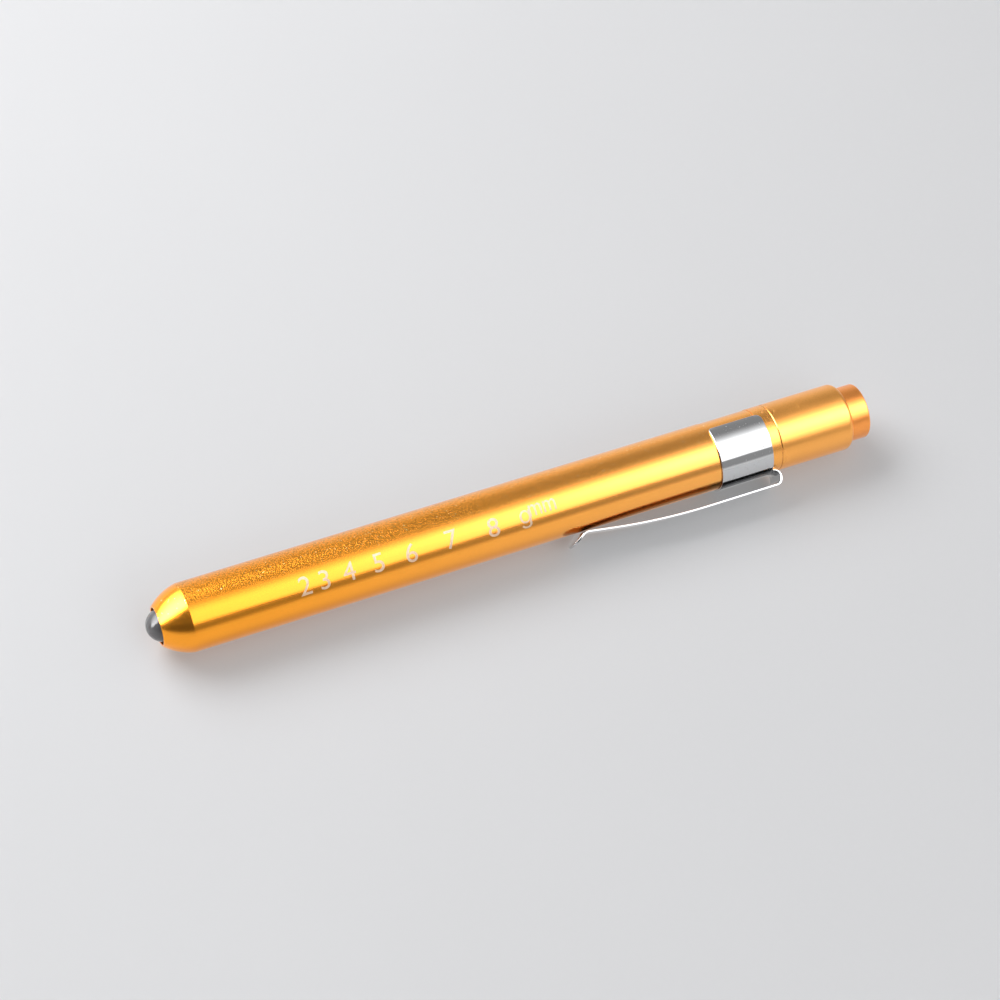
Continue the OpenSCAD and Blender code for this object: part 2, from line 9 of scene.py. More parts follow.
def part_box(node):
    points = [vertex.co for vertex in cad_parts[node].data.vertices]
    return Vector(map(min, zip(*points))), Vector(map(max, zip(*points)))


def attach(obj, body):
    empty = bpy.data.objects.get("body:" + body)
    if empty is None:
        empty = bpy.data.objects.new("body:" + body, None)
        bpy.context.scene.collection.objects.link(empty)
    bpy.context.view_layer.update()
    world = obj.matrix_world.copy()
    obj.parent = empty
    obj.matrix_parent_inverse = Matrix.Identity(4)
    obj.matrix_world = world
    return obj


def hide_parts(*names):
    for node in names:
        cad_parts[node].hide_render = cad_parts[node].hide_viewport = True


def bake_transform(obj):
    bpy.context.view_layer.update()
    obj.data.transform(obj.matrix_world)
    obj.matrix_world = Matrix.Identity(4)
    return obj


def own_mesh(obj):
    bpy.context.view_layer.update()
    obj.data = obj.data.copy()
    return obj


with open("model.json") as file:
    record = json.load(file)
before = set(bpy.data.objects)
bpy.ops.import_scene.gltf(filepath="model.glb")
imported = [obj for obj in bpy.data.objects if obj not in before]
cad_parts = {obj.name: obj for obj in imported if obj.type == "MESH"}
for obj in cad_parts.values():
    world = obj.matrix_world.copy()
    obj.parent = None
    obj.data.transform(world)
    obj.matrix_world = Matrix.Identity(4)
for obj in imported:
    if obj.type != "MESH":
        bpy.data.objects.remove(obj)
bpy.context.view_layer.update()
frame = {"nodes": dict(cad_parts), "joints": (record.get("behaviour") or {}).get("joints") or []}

bl_info = {
    "name": "Penlight",
    "version": (1, 0, 0),
    "blender": (4, 5, 0),
    "location": "3D View > Sidebar > Penlight",
    "description": "Dresses the packed penlight in turned aluminium, formed steel, lens and print",
    "category": "Object",
}

MM = 0.001

# The pen lies along AXIS. OUT points from it to the clip's arm, ACROSS along the arm's hinge.
AXIS = Vector((1, 0, 0))
HINGE = next(j for j in frame["joints"] if j["name"] == "clip_flex")
ACROSS = -Vector(HINGE["axis"]).normalized()
OUT = ACROSS.cross(AXIS).normalized()
RIM_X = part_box("barrel")[0].x

# Stations that both sizes and finishes go by, in mm from the plane of the nose rim.
NOSE_END = 5.1
SEAM = 118.15
CELLS_FROM = 13.1
CELL_LEN = 44.5


# Settings


def length(name, description, default_mm):
    return bpy.props.FloatProperty(
        name=name, description=description, default=default_mm * MM, unit="LENGTH", precision=5
    )


def angle(name, description, default_deg):
    return bpy.props.FloatProperty(
        name=name, description=description, default=math.radians(default_deg), subtype="ANGLE"
    )


def colour(name, description, default):
    return bpy.props.FloatVectorProperty(
        name=name, description=description, default=default, size=3, min=0, max=1, subtype="COLOR"
    )


def amount(name, description, default):
    return bpy.props.FloatProperty(name=name, description=description, default=default, min=0)


class PenlightTubeSizes(bpy.types.PropertyGroup):
    """Stations along the pen are counted from the plane of the nose rim"""

    tube_r: length("Tube radius", "Outer radius of barrel and tail cap", 6.25)
    bore_r: length("Bore radius", "Radius of the bore for the cells", 5.45)
    nose_len: length("Nose length", "Length of the curved nose", NOSE_END)
    rim_r: length("Rim radius", "Outer radius of the flat rim round the lens", 3.65)
    hole_r: length("Lens hole radius", "Radius of the hole that the lens looks through", 3.35)
    nose_bulge: length("Nose bulge", "How far the nose stands out of a plain cone", 0.42)
    flange_room_r: length("Lens pocket radius", "Radius of the pocket for the lens flange", 4.3)
    board_room_r: length("Board pocket radius", "Radius of the pocket for the lamp board", 5.0)
    nose_wall: length("Nose wall", "Thickness of the wall behind the rim", 2.0)
    board_at: length("Board station", "Station of the lamp board's front", 3.6)
    bore_from: length("Bore start", "Station where the bore for the cells starts", 6.0)
    seat_r: length("Band seat radius", "Radius of the shallow seat under the clip band", 6.17)
    seat_from: length("Band seat start", "Station where the seat starts", 105.65)
    seat_to: length("Band seat end", "Station where the seat ends", 115.2)
    seam_at: length("Seam station", "Station where barrel and tail cap meet", SEAM)
    seam_gap: length("Seam gap", "Gap left at the seam", 0.06)
    seam_break: length("Seam break", "Length of the broken edge on each side of the seam", 0.12)
    edge: length("Edge radius", "Radius of the turned edges", 0.07)
    steps: bpy.props.IntProperty(
        name="Steps", description="Facets round the pen", default=192, min=24
    )


class PenlightTailSizes(bpy.types.PropertyGroup):
    neck_from: length("Neck start", "Station where the threaded neck starts", 110.45)
    neck_r: length("Neck radius", "Radius of the neck's collars", 5.39)
    thread_root_r: length("Thread root radius", "Radius between the threads", 5.07)
    thread_crest_r: length("Thread crest radius", "Radius over the threads", 5.38)
    thread_lead: length("Thread lead", "Advance of the cap in one turn", 0.8)
    thread_from: length("Thread start", "Station of the first full thread", 111.0)
    thread_to: length("Thread end", "Station of the last full thread", 115.9)
    groove_from: length("Seal groove start", "Station where the groove of the seal starts", 116.65)
    groove_to: length("Seal groove end", "Station where the groove of the seal ends", 117.65)
    groove_r: length("Seal groove radius", "Radius at the bottom of the groove", 4.82)
    edge_from: length("Cap edge start", "Station where the rounded edge starts", 131.95)
    end_at: length("Cap end", "Station of the cap's end face", 133.05)
    face_r: length("Cap face radius", "Radius where the rounded edge meets the end face", 5.38)
    edge_bulge: length("Cap edge bulge", "How far the edge stands out of a plain cone", 0.24)
    well_r: length("Button well radius", "Radius of the well that the button slides in", 5.18)
    well_at: length("Button well floor", "Station of the well's floor", 126.4)
    web_at: length("Web station", "Station of the wall between switch and well", 125.0)
    switch_room_r: length("Switch bore radius", "Radius of the bore for the switch", 4.26)
    stem_room_r: length("Stem hole radius", "Radius of the hole for the plunger's stem", 1.44)
    button_r: length("Button radius", "Outer radius of the push button", 5.12)
    button_in_r: length("Button inner radius", "Inner radius of the push button", 4.22)
    button_from: length("Button skirt", "Station of the skirt's open end", 129.7)
    button_to: length("Button face", "Station of the button's face", 136.9)
    button_edge: length("Button edge", "Size of the rounded edge of the face", 0.45)
    button_edge_bulge: length("Button edge bulge", "How far the edge stands out of a chamfer", 0.13)
    button_face_t: length("Button face thickness", "Thickness of the face", 1.0)
    boss_r: length("Boss radius", "Radius of the boss that holds the stem", 2.1)
    boss_len: length("Boss length", "Length of the boss", 5.4)
    stem_r: length("Stem socket radius", "Radius of the socket for the stem", 1.4)
    stem_depth: length("Stem socket depth", "Depth of the socket", 4.32)


class PenlightLensSizes(bpy.types.PropertyGroup):
    dome_r: length("Dome radius", "Radius of the lens dome", 3.0)
    dome_centre: length("Dome centre", "Station of the dome's centre", 1.0)
    flange_r: length("Flange radius", "Radius of the flange", 4.2)
    flange_from: length("Flange front", "Station of the flange's front", 2.6)
    back_at: length("Lens back", "Station of the lens back", 3.6)
    hollow_r: length("Hollow radius", "Radius of the hollow over the chip", 1.9)
    hollow_at: length("Hollow floor", "Station of the hollow's floor", 2.7)


class PenlightClipSizes(bpy.types.PropertyGroup):
    sheet: length("Sheet", "Thickness of the steel sheet", 0.42)
    band_mid_r: length("Band radius", "Radius of the middle of the band's sheet", 6.40)
    band_len: length("Band length", "Length of the band along the pen", 10.35)
    band_end: length("Band end", "Station of the band's tail edge", 116.1)
    band_wrap: angle("Band wrap", "Angle that the band takes in round the pen", 270)
    tail_corner: length("Tail corner", "Radius of the band's corners toward the tail", 1.2)
    nose_corner: length("Nose corner", "Radius of the band's corners toward the nose", 0.6)
    arm_w: length("Arm width", "Width of the arm", 5.6)
    root_len: length("Root length", "Straight run between band and bend", 0.1)
    bend_r: length("Bend radius", "Radius of the middle of the sheet in the bend", 1.14)
    flat_len: length("Flat length", "Length of the arm's straight start", 13.5)
    bow_r: length("Bow radius", "Radius of the arm's long bow", 129.2)
    bow_turn: angle("Bow turn", "Angle that the bow turns through", 8.55)
    run_len: length("Run length", "Straight run between the bow and the touch bend", 4.5)
    touch_r: length("Touch radius", "Radius of the bend that touches the barrel", 1.4)
    lip_turn: angle("Lip angle", "Rise of the lip", 33.5)
    lip_len: length("Lip length", "Length of the lip", 3.1)
    tip_r: length("Tip radius", "Radius of the rounded tip", 2.85)
    edge: length("Edge radius", "Radius of the tumbled edges", 0.09)


class PenlightPrintSizes(bpy.types.PropertyGroup):
    height: length("Figure height", "Height of a figure", 3.55)
    last_height: length("Last figure height", "Type height of the figure beside the unit", 3.16)
    small_height: length("Unit height", "Type height of the unit's letters", 3.35)
    small_width: amount("Unit width", "Width of the unit's letters, as a share of the type's", 0.79)
    ink: length("Ink thickness", "Thickness of the print", 0.012)
    dots_far: angle("Gauge edge", "Angle round the pen of the line that the dots stand on", -167.5)


class PenlightSpringSizes(bpy.types.PropertyGroup):
    battery_wire: length("Battery spring wire", "Thickness of the battery spring's wire", 0.6)
    battery_from: length("Battery spring foot", "Station of the spring's foot", 102.12)
    battery_to: length("Battery spring top", "Station of the spring's top", 111.75)
    battery_small_r: length("Battery spring small radius", "Mean radius at the cell", 2.2)
    battery_big_r: length("Battery spring large radius", "Mean radius at the switch", 2.85)
    battery_turns: amount("Battery spring turns", "Turns of the battery spring", 5)
    return_wire: length("Return spring wire", "Thickness of the return spring's wire", 0.5)
    return_from: length("Return spring foot", "Station of the spring's foot", 126.42)
    return_to: length("Return spring top", "Station of the spring's top", 135.88)
    return_r: length("Return spring radius", "Mean radius of the return spring", 3.2)
    return_turns: amount("Return spring turns", "Turns of the return spring", 6)


class PenlightColours(bpy.types.PropertyGroup):
    gold: colour("Gold", "Dye of the anodised aluminium at the nose", (0.98, 0.365, 0.034))
    gold_tail: colour("Pale gold", "Dye of the anodised aluminium at the tail", (0.96, 0.43, 0.105))
    button: colour("Button", "Dye of the push button", (0.97, 0.355, 0.085))
    steel: colour("Steel", "Polished steel of the clip", (0.50, 0.503, 0.51))
    lens: colour("Lens", "Tint of the clear lens", (0.375, 0.375, 0.385))
    ink: colour("Ink", "Print on the barrel", (0.80, 0.56, 0.40))
    brass: colour("Brass", "Contacts", (0.80, 0.55, 0.22))
    nickel: colour("Nickel", "Plated steel of cells and springs", (0.62, 0.61, 0.58))
    film: colour("Film", "Sleeve of the cells", (0.030, 0.045, 0.060))
    film_band: colour("Film band", "Band at the positive end of the cells", (0.62, 0.25, 0.08))
    white: colour("White", "White plastic", (0.78, 0.77, 0.73))
    black: colour("Black", "Black plastic", (0.022, 0.022, 0.024))
    rubber: colour("Rubber", "Seals", (0.016, 0.016, 0.017))
    board: colour("Board", "Lamp board", (0.02, 0.10, 0.045))
    phosphor: colour("Phosphor", "Coating of the light chip", (0.86, 0.66, 0.12))
    floor: colour("Floor", "Floor under the pen", (0.715, 0.72, 0.74))
    backdrop: colour("Backdrop", "What the camera sees past the floor", (0.80, 0.80, 0.81))


class PenlightLight(bpy.types.PropertyGroup):
    softbox: amount("Softbox", "Brightness of the softbox overhead", 1.95)
    hot: amount("Hot spot", "Extra brightness of the softbox over the tail", 3.4)
    side: amount("Side light", "Brightness of the softbox beyond the nose", 13.0)
    surround: amount("Surround", "Brightness of the pale surround", 1.0)
    dark: amount("Dark", "Brightness of the room between softbox and surround", 0.42)
    gap: amount("Gap", "Brightness of the gap in front of the softbox", 0.34)
    spread: amount("Spread", "Share of the room's light that reaches matt surfaces", 0.35)
    key: amount("Key", "Power of the soft lamp behind the pen, in watts", 3.12)
    fill: amount("Fill", "Power of the weak lamp in front of the pen, in watts", 0.6)
    camera_at: bpy.props.FloatVectorProperty(
        name="Camera", description="Place of the camera", default=(-0.128203, -0.254040, 0.458164),
        precision=6, subtype="TRANSLATION",
    )
    camera_right: bpy.props.FloatVectorProperty(
        name="Camera right", description="The way to the picture's right",
        default=(0.91767528, -0.38696889, 0.09015079), precision=6, subtype="DIRECTION",
    )
    camera_up: bpy.props.FloatVectorProperty(
        name="Camera up", description="The way to the picture's top",
        default=(0.28113379, 0.7927064, 0.54090698), precision=6, subtype="DIRECTION",
    )
    camera_lens: bpy.props.FloatProperty(
        name="Camera lens", description="Focal length in mm", default=109.853, min=1
    )


# Shader expressions


class Wire:
    """One output of a shader node, on which Python's operators add Math nodes."""

    def __init__(self, net, socket):
        self.net = net
        self.socket = socket

    def maths(self, operation, first, second=0.0):
        return self.net.add("ShaderNodeMath", {"operation": operation}, {0: first, 1: second})

    def __add__(self, other):
        return self.maths("ADD", self, other)

    def __radd__(self, other):
        return self.maths("ADD", other, self)

    def __sub__(self, other):
        return self.maths("SUBTRACT", self, other)

    def __rsub__(self, other):
        return self.maths("SUBTRACT", other, self)

    def __mul__(self, other):
        return self.maths("MULTIPLY", self, other)

    def __rmul__(self, other):
        return self.maths("MULTIPLY", other, self)

    def __mod__(self, other):
        return self.maths("MODULO", self, other)

    def __neg__(self):
        return self.maths("MULTIPLY", self, -1.0)

    def __abs__(self):
        return self.maths("ABSOLUTE", self)

    def __gt__(self, other):
        return self.maths("GREATER_THAN", self, other)

    def __lt__(self, other):
        return self.maths("LESS_THAN", self, other)


class Net:
    """The shader nodes of one material, or of the world."""

    def __init__(self, owner):
        owner.use_nodes = True
        self.tree = owner.node_tree
        self.tree.nodes.clear()

    def add(self, kind, settings=None, inputs=None, output=0):
        """Adds a node: its settings first, then what its sockets hold or are linked to."""
        node = self.tree.nodes.new(kind)
        for name, value in (settings or {}).items():
            setattr(node, name, value)
        for name, value in (inputs or {}).items():
            if isinstance(value, Wire):
                self.tree.links.new(value.socket, node.inputs[name])
            else:
                node.inputs[name].default_value = value
        return Wire(self, node.outputs[output]) if node.outputs else None

    def place(self, scale=(1, 1, 1)):
        """Object coordinates, drawn out along an axis where scale is under 1."""
        start = self.add("ShaderNodeTexCoord", output="Object")
        return self.add("ShaderNodeMapping", None, {"Vector": start, "Scale": scale})

    def split(self, vector, axis):
        return self.add("ShaderNodeSeparateXYZ", None, {"Vector": vector}, axis)

    def along(self):
        """Distance along the pen from the middle of the grip, in metres."""
        return self.split(self.place(), "X")

    def across(self):
        """Distance to the side of the pen's axis, in metres."""
        return self.split(self.place(), "Y")

    def ray(self, kind):
        return self.add("ShaderNodeLightPath", output=kind)

    def mirrored(self, *kinds):
        """1 for rays of these kinds that no matt surface has scattered before, 0 for all others."""
        return (sum(self.ray(kind) for kind in kinds) > 0.5) * (self.ray("Diffuse Depth") < 0.5)

    def noise(self, size_mm, detail=2.0, scale=(1, 1, 1), rough=0.5):
        """Grey noise round one half, its spots about size_mm apart."""
        inputs = {"Scale": 1 / (size_mm * MM), "Detail": detail, "Roughness": rough}
        return self.add("ShaderNodeTexNoise", None, {"Vector": self.place(scale), **inputs}, "Fac")

    def ease(self, value, low, high, to_low=0.0, to_high=1.0):
        """A smooth step from to_low, where the value is low, to to_high, where it is high."""
        inputs = {"From Min": low, "From Max": high, "To Min": to_low, "To Max": to_high}
        settings = {"interpolation_type": "SMOOTHSTEP"}
        return self.add("ShaderNodeMapRange", settings, {"Value": value, **inputs})

    def blend(self, factor, first, second):
        """Mixes two colours."""
        first, second = (x if isinstance(x, Wire) else (*x, 1.0) for x in (first, second))
        factor_in, first_in, second_in, colour_out = 0, 6, 7, 2
        return self.add(
            "ShaderNodeMix", {"data_type": "RGBA"},
            {factor_in: factor, first_in: first, second_in: second}, colour_out,
        )

    def bump(self, height, depth_mm):
        inputs = {"Height": height, "Distance": depth_mm * MM, "Strength": 1.0}
        return self.add("ShaderNodeBump", None, inputs)

    def shader(self, **inputs):
        """The Principled shader. base_color stands for its socket Base Color, and so on."""
        sockets = {}
        for name, value in inputs.items():
            sockets[name.replace("_", " ").title().replace("Ior", "IOR")] = value
        return self.add("ShaderNodeBsdfPrincipled", None, sockets)

    def surface(self, **inputs):
        """Makes the Principled shader the whole material."""
        self.add("ShaderNodeOutputMaterial", None, {"Surface": self.shader(**inputs)})


def tone(shade, factor):
    """A colour made lighter or darker."""
    return tuple(min(1.0, c * factor) for c in shade)


# Finishes

# Small dents in the tail cap: place along the pen and across it, and half length, in mm.
DENTS = ((83.0, 1.2, 1.2), (78.4, 1.5, 0.6), (76.3, 2.3, 0.4))
DENT_HALF_WIDTH = 0.28
# Colour of the painted glints: light specks on the barrel's top that stand in for small highlights.
PAINTED_GLINT = (1.0, 0.78, 0.5)


def anodised(net, nose, tail):
    """Dyed, bead-blasted and drawn aluminium, coarser on top toward the nose."""
    grain = net.noise(0.31, 3.0, rough=0.7)
    fine = net.noise(0.13, 1.0)
    drawn = net.noise(0.20, 2.0, (0.025, 1, 1))
    cloud = net.noise(6.0, 2.0)
    along, across = net.along(), net.across()
    top = net.ease(across, -1.8 * MM, 1.0 * MM)
    shoulder, seam = station(NOSE_END * MM), station(SEAM * MM)
    coarse = top * net.ease(along, shoulder - 1.0 * MM, shoulder + 0.2 * MM)
    coarse = coarse * net.ease(along, 65.0 * MM, -15.0 * MM, 0.1, 1.0)
    dents = 0.0
    for x, y, half_length in DENTS:
        away = abs(along - x * MM) * (1 / DENT_HALF_WIDTH)
        away = away + abs(across - y * MM) * (1 / half_length)
        dents = dents + net.ease(away, 1.0 * MM, 0.0)
    shade = net.blend(net.ease(along, -30.0 * MM, 80.0 * MM), nose, tail)
    shade = net.blend(cloud * 0.06, shade, tone(nose, 0.8))
    pits = net.ease(grain, 0.53, 0.38) * (0.03 + 0.60 * coarse)
    shade = net.blend(pits, shade, tone(nose, 0.35))
    # Painted glints: sparse light specks on top of the barrel, not on the tail cap, stand in for
    # small highlights.
    painted_glints = net.ease(net.noise(0.4, 1.0), 0.70, 0.76) * top * net.ease(along, seam, seam - 1.0 * MM)
    shade = net.blend(painted_glints * 0.7, shade, PAINTED_GLINT)
    height = grain * (0.08 + 0.92 * coarse) + 0.08 * fine + 0.08 * drawn - 0.6 * dents
    satin = net.ease(along, 65.0 * MM, 85.0 * MM)
    net.surface(
        base_color=shade,
        metallic=1.0,
        roughness=0.18 + 0.05 * cloud + 0.10 * satin,
        normal=net.bump(height, 0.065),
    )


def anodised_gold(net, colours):
    anodised(net, colours.gold, colours.gold_tail)


def anodised_button(net, colours):
    anodised(net, colours.button, colours.button)


def polished_steel(net, colours):
    """Bright sheet with faint waves, fine rolling lines and a few specks."""
    waves = net.noise(7.0, 1.0)
    rolled = net.noise(0.12, 2.0, (1, 0.04, 0.04))
    specks = net.ease(net.noise(0.45, 1.0), 0.69, 0.74)
    shade = net.blend(specks, colours.steel, tone(colours.steel, 0.8))
    net.surface(
        base_color=shade,
        metallic=1.0,
        roughness=0.06 + 0.05 * rolled + 0.25 * specks,
        normal=net.bump(waves + 0.008 * rolled + 0.03 * specks, 0.03),
    )


def grained(net, grain, first, second, smooth, rougher, depth_mm, **others):
    """A surface whose colour, roughness and relief all follow one noise."""
    net.surface(
        base_color=net.blend(grain, first, second),
        roughness=smooth + rougher * grain,
        normal=net.bump(grain, depth_mm),
        **others,
    )


def spring_steel(net, colours):
    """Drawn and plated wire."""
    scratch = net.noise(0.08, 3.0, (0.3, 1, 1))
    dull, bright = tone(colours.nickel, 0.8), tone(colours.nickel, 1.1)
    grained(net, scratch, dull, bright, smooth=0.22, rougher=0.12, depth_mm=0.003, metallic=1.0)


def plated_can(net, colours):
    """Deep drawn nickel plated steel with handling marks."""
    marks = net.noise(0.5, 4.0, (0.2, 1, 1), 0.7)
    dull, bright = tone(colours.nickel, 0.85), tone(colours.nickel, 1.1)
    grained(net, marks, dull, bright, smooth=0.20, rougher=0.18, depth_mm=0.004, metallic=1.0)


def turned_brass(net, colours):
    """Brass with fine turning rings and a little tarnish."""
    rings = net.noise(0.06, 1.0, (1, 0.02, 0.02))
    tarnish = net.noise(1.4, 3.0)
    net.surface(
        base_color=net.blend(tarnish, colours.brass, tone(colours.brass, 0.7)),
        metallic=1.0,
        roughness=0.24 + 0.18 * tarnish,
        normal=net.bump(rings, 0.003),
    )


def clear_lens(net, colours):
    """Clear moulded plastic with a faint surface ripple."""
    ripple = net.noise(1.2, 1.0)
    grained(net, ripple, colours.lens, tone(colours.lens, 0.92), smooth=0.04, rougher=0.03,
            depth_mm=0.004, metallic=0.0, ior=1.49, transmission_weight=0.55)


def white_plastic(net, colours):
    """Moulded white nylon with a fine spark texture."""
    spark = net.noise(0.10, 2.0)
    cloud = net.noise(3.0, 2.0)
    net.surface(
        base_color=net.blend(cloud, colours.white, tone(colours.white, 0.9)),
        roughness=0.38 + 0.12 * spark,
        subsurface_weight=0.05,
        normal=net.bump(spark, 0.006),
    )


def black_plastic(net, colours):
    """Moulded black plastic with a fine spark texture."""
    spark = net.noise(0.09, 2.0)
    cloud = net.noise(2.5, 2.0)
    net.surface(
        base_color=net.blend(cloud, colours.black, tone(colours.black, 1.6)),
        roughness=0.34 + 0.16 * spark,
        normal=net.bump(spark, 0.006),
    )


def seal_rubber(net, colours):
    """Matt rubber with a dusty bloom."""
    bloom = net.noise(0.5, 3.0)
    grained(net, bloom, colours.rubber, tone(colours.rubber, 2.2), smooth=0.55, rougher=0.25,
            depth_mm=0.008)


def lamp_board(net, colours):
    """Solder mask over copper tracks."""
    tracks = net.ease(net.noise(1.6, 0.0), 0.48, 0.52)
    weave = net.noise(0.15, 1.0)
    net.surface(
        base_color=net.blend(tracks, colours.board, tone(colours.board, 1.9)),
        roughness=0.28 + 0.1 * weave,
        coat_weight=0.3,
        normal=net.bump(0.7 * tracks + 0.3 * weave, 0.02),
    )


def chip_phosphor(net, colours):
    """Yellow grainy coating of the light chip."""
    grain = net.noise(0.08, 3.0)
    grained(net, grain, tone(colours.phosphor, 0.8), colours.phosphor, smooth=0.35, rougher=0.2,
            depth_mm=0.008)


def printed_ink(net, colours):
    """Satin print with a metallic cast, a little thin in places."""
    thin = net.noise(0.30, 3.0, rough=0.7)
    net.surface(
        base_color=net.blend(net.ease(thin, 0.35, 0.7), colours.ink, tone(colours.ink, 0.84)),
        metallic=0.6,
        roughness=0.46 + 0.10 * thin,
        normal=net.bump(thin, 0.003),
    )


def cell_film(net, colours):
    """Glossy printed sleeve: dark, with a plain coloured band at the positive end of each cell."""
    in_cell = (net.along() - station(CELLS_FROM * MM)) % (CELL_LEN * MM)
    band_end, line_at = 11.9 * MM, 12.9 * MM
    band = net.ease(in_cell, band_end, band_end - 0.1 * MM)
    line = net.ease(abs(in_cell - line_at), 0.25 * MM, 0.2 * MM)
    wrinkle = net.noise(1.0, 2.0, (0.4, 1, 1))
    shade = net.blend(band, colours.film, colours.film_band)
    shade = net.blend(line, shade, tone(colours.film_band, 1.3))
    net.surface(
        base_color=shade,
        metallic=0.2,
        roughness=0.16 + 0.12 * wrinkle,
        coat_weight=0.5,
        normal=net.bump(wrinkle, 0.008),
    )


def plain_floor(net, colours):
    """Matt floor with a faint mottle. A fifth of it glows, more where the pen mirrors it."""
    mottle = net.noise(60.0, 2.0)
    matt = net.shader(
        base_color=net.blend(mottle, tone(colours.floor, 0.985), tone(colours.floor, 1.015)),
        roughness=0.5 + 0.05 * mottle,
        specular_ior_level=0.2,
    )
    glow = net.blend(net.mirrored("Is Glossy Ray"), (1.05, 1.05, 1.05), (2.0, 2.0, 2.0))
    pale = net.add("ShaderNodeEmission", None, {"Color": glow})
    mixed = net.add("ShaderNodeMixShader", None, {0: 0.20, 1: matt, 2: pale})
    net.add("ShaderNodeOutputMaterial", None, {"Surface": mixed})


FINISHES = {
    "gold_anodised": anodised_gold,
    "button_gold": anodised_button,
    "clip_steel": polished_steel,
    "spring_steel": spring_steel,
    "cell_can": plated_can,
    "brass": turned_brass,
    "lens_plastic": clear_lens,
    "white_plastic": white_plastic,
    "black_plastic": black_plastic,
    "seal_rubber": seal_rubber,
    "board": lamp_board,
    "chip_phosphor": chip_phosphor,
    "cell_film": cell_film,
    "print": printed_ink,
    "floor": plain_floor,
}

# Materials made so far, by finish.
MADE = {}

# The CAD nodes that show in their own shape, by finish.
KEPT_NODES = {
    "seal_rubber": ("lens_seal", "tail_seal"),
    "chip_phosphor": ("light_chip",),
    "board": ("lamp_board",),
    "white_plastic": ("lamp_holder", "plunger"),
    "black_plastic": ("switch_housing", "switch_base"),
    "brass": ("lamp_pin", "retaining_ring", "contact_plate", "ground_contact", "moving_contact"),
    "cell_can": ("front_cell_can", "front_cell_terminal", "rear_cell_can", "rear_cell_terminal"),
    "cell_film": ("front_cell_film", "rear_cell_film"),
    "spring_steel": ("latch_cover", "latch_link"),
}


def finish(name):
    """The material of that name, made the first time it is asked for."""
    if name not in MADE:
        MADE[name] = bpy.data.materials.new(FINISHES[name].__name__)
        FINISHES[name](Net(MADE[name]), bpy.context.scene.penlight_colours)
    return MADE[name]


# Shapes


def station(s):
    """The place along X of a station, counted from the plane of the nose rim, in metres."""
    return RIM_X + s


def shown(name, data):
    """A new object in the scene."""
    thing = bpy.data.objects.new(name, data)
    bpy.context.scene.collection.objects.link(thing)
    return thing


def meshed(bm, name):
    """The mesh of a bmesh, which is freed."""
    mesh = bpy.data.meshes.new(name)
    bm.to_mesh(mesh)
    bm.free()
    return mesh


def fitted(bm, name, body, material, replaces=(), sharp=30):
    """Turns a finished bmesh, its faces pointing outwards, into a piece, which rides on a body when
    one is given.
    """
    bmesh.ops.recalc_face_normals(bm, faces=bm.faces[:])
    # On a thin formed sheet the operator can turn the whole shell inside out.
    if bm.calc_volume(signed=True) < 0:
        bmesh.ops.reverse_faces(bm, faces=bm.faces[:])
    mesh = meshed(bm, name)
    mesh.shade_smooth()
    mesh.set_sharp_from_angle(angle=math.radians(sharp))
    mesh.materials.append(finish(material))
    piece = shown(name, mesh)
    if body:
        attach(piece, body)
    if replaces:
        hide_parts(*replaces)
    return piece


def bulge(start, end, height, steps):
    """Points of the arc between two (station, radius) points that stands out by height."""
    start, end = Vector(start), Vector(end)
    chord = end - start
    radius = chord.length ** 2 / (8 * height) + height / 2
    side = Vector((-chord.y, chord.x)).normalized()
    centre = (start + end) / 2 - side * (radius - height)
    half = math.asin(chord.length / 2 / radius)
    return [
        tuple(centre + Matrix.Rotation(half - 2 * half * i / steps, 2) @ (side * radius))
        for i in range(steps + 1)
    ]


def eased(corners, closed):
    """Rounds the corners of a turned outline, each given as (station, radius, edge radius)."""
    steps = 4
    count = len(corners)
    points = []
    for i, (s, r, edge) in enumerate(corners):
        here = Vector((s, r))
        if not edge or (not closed and i in (0, count - 1)):
            points.append(here)
            continue
        before = (Vector(corners[i - 1][:2]) - here).normalized()
        after = (Vector(corners[(i + 1) % count][:2]) - here).normalized()
        half = before.angle(after) / 2
        back = edge / math.tan(half)
        centre = here + (before + after).normalized() * edge / math.sin(half)
        first, last = here + before * back, here + after * back
        points.append(first + before * edge)
        for k in range(steps + 1):
            way = (first - centre).lerp(last - centre, k / steps).normalized()
            points.append(centre + way * edge)
        points.append(last + after * edge)
    return points


def turned(corners, steps, closed=True):
    """Spins an outline with rounded corners round the pen's axis."""
    bm = bmesh.new()
    rim = [bm.verts.new((station(s), 0, r)) for s, r in eased(corners, closed)]
    lines = [bm.edges.new(pair) for pair in zip(rim, rim[1:])]
    if closed:
        lines.append(bm.edges.new((rim[-1], rim[0])))
    bmesh.ops.spin(
        bm, geom=rim + lines, cent=(0, 0, 0), axis=AXIS, angle=math.tau, steps=steps, use_merge=True
    )
    bmesh.ops.remove_doubles(bm, verts=bm.verts[:], dist=1e-8)
    return bm


def wound(bm, section, moves):
    """Sweeps a section round the pen's axis, by one (turn, rise, widening) after another."""
    first = bm.faces.new([bm.verts.new((station(s), 0, r)) for s, r in section])
    edges = first.edges[:]
    heading = 0.0
    for turn, rise, widen in moves:
        made = bmesh.ops.extrude_edge_only(bm, edges=edges)["geom"]
        verts = [g for g in made if isinstance(g, bmesh.types.BMVert)]
        loop = set(verts)
        edges = [
            g for g in made
            if isinstance(g, bmesh.types.BMEdge) and g.verts[0] in loop and g.verts[1] in loop
        ]
        heading += turn
        bmesh.ops.rotate(bm, verts=verts, cent=(0, 0, 0), matrix=Matrix.Rotation(turn, 3, "X"))
        outward = Matrix.Rotation(heading, 3, "X") @ Vector((0, 0, widen))
        bmesh.ops.translate(bm, verts=verts, vec=outward + Vector((rise, 0, 0)))
    bmesh.ops.contextual_create(bm, geom=edges)


